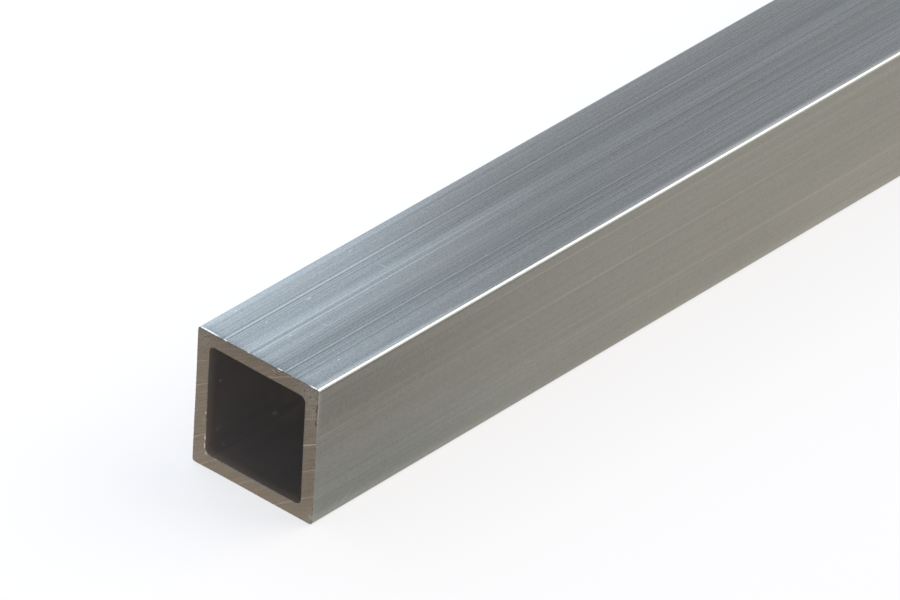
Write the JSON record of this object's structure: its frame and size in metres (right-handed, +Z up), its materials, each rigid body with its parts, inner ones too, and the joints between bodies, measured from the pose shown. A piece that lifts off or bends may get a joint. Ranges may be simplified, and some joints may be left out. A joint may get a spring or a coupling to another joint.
{
  "type": "square metal tube",
  "caption": "Straight length of square aluminium tube, extruded with even walls and rounded inner corners, sawn square and open at both ends.",
  "frame": {"origin": "on the floor under the middle of the tube, halfway along its length and halfway across its lower face", "axes": "+X along the tube, +Z up through its upper face, +Y across it"},
  "size_m": [1, 0.025, 0.025],
  "materials": {
    "mill_aluminium": "mill finish as extruded, satin, with fine die lines along the length and bare sawn ends"
  },
  "bodies": {
    "root": {"square_tube": "mill_aluminium"}
  },
  "joints": []
}
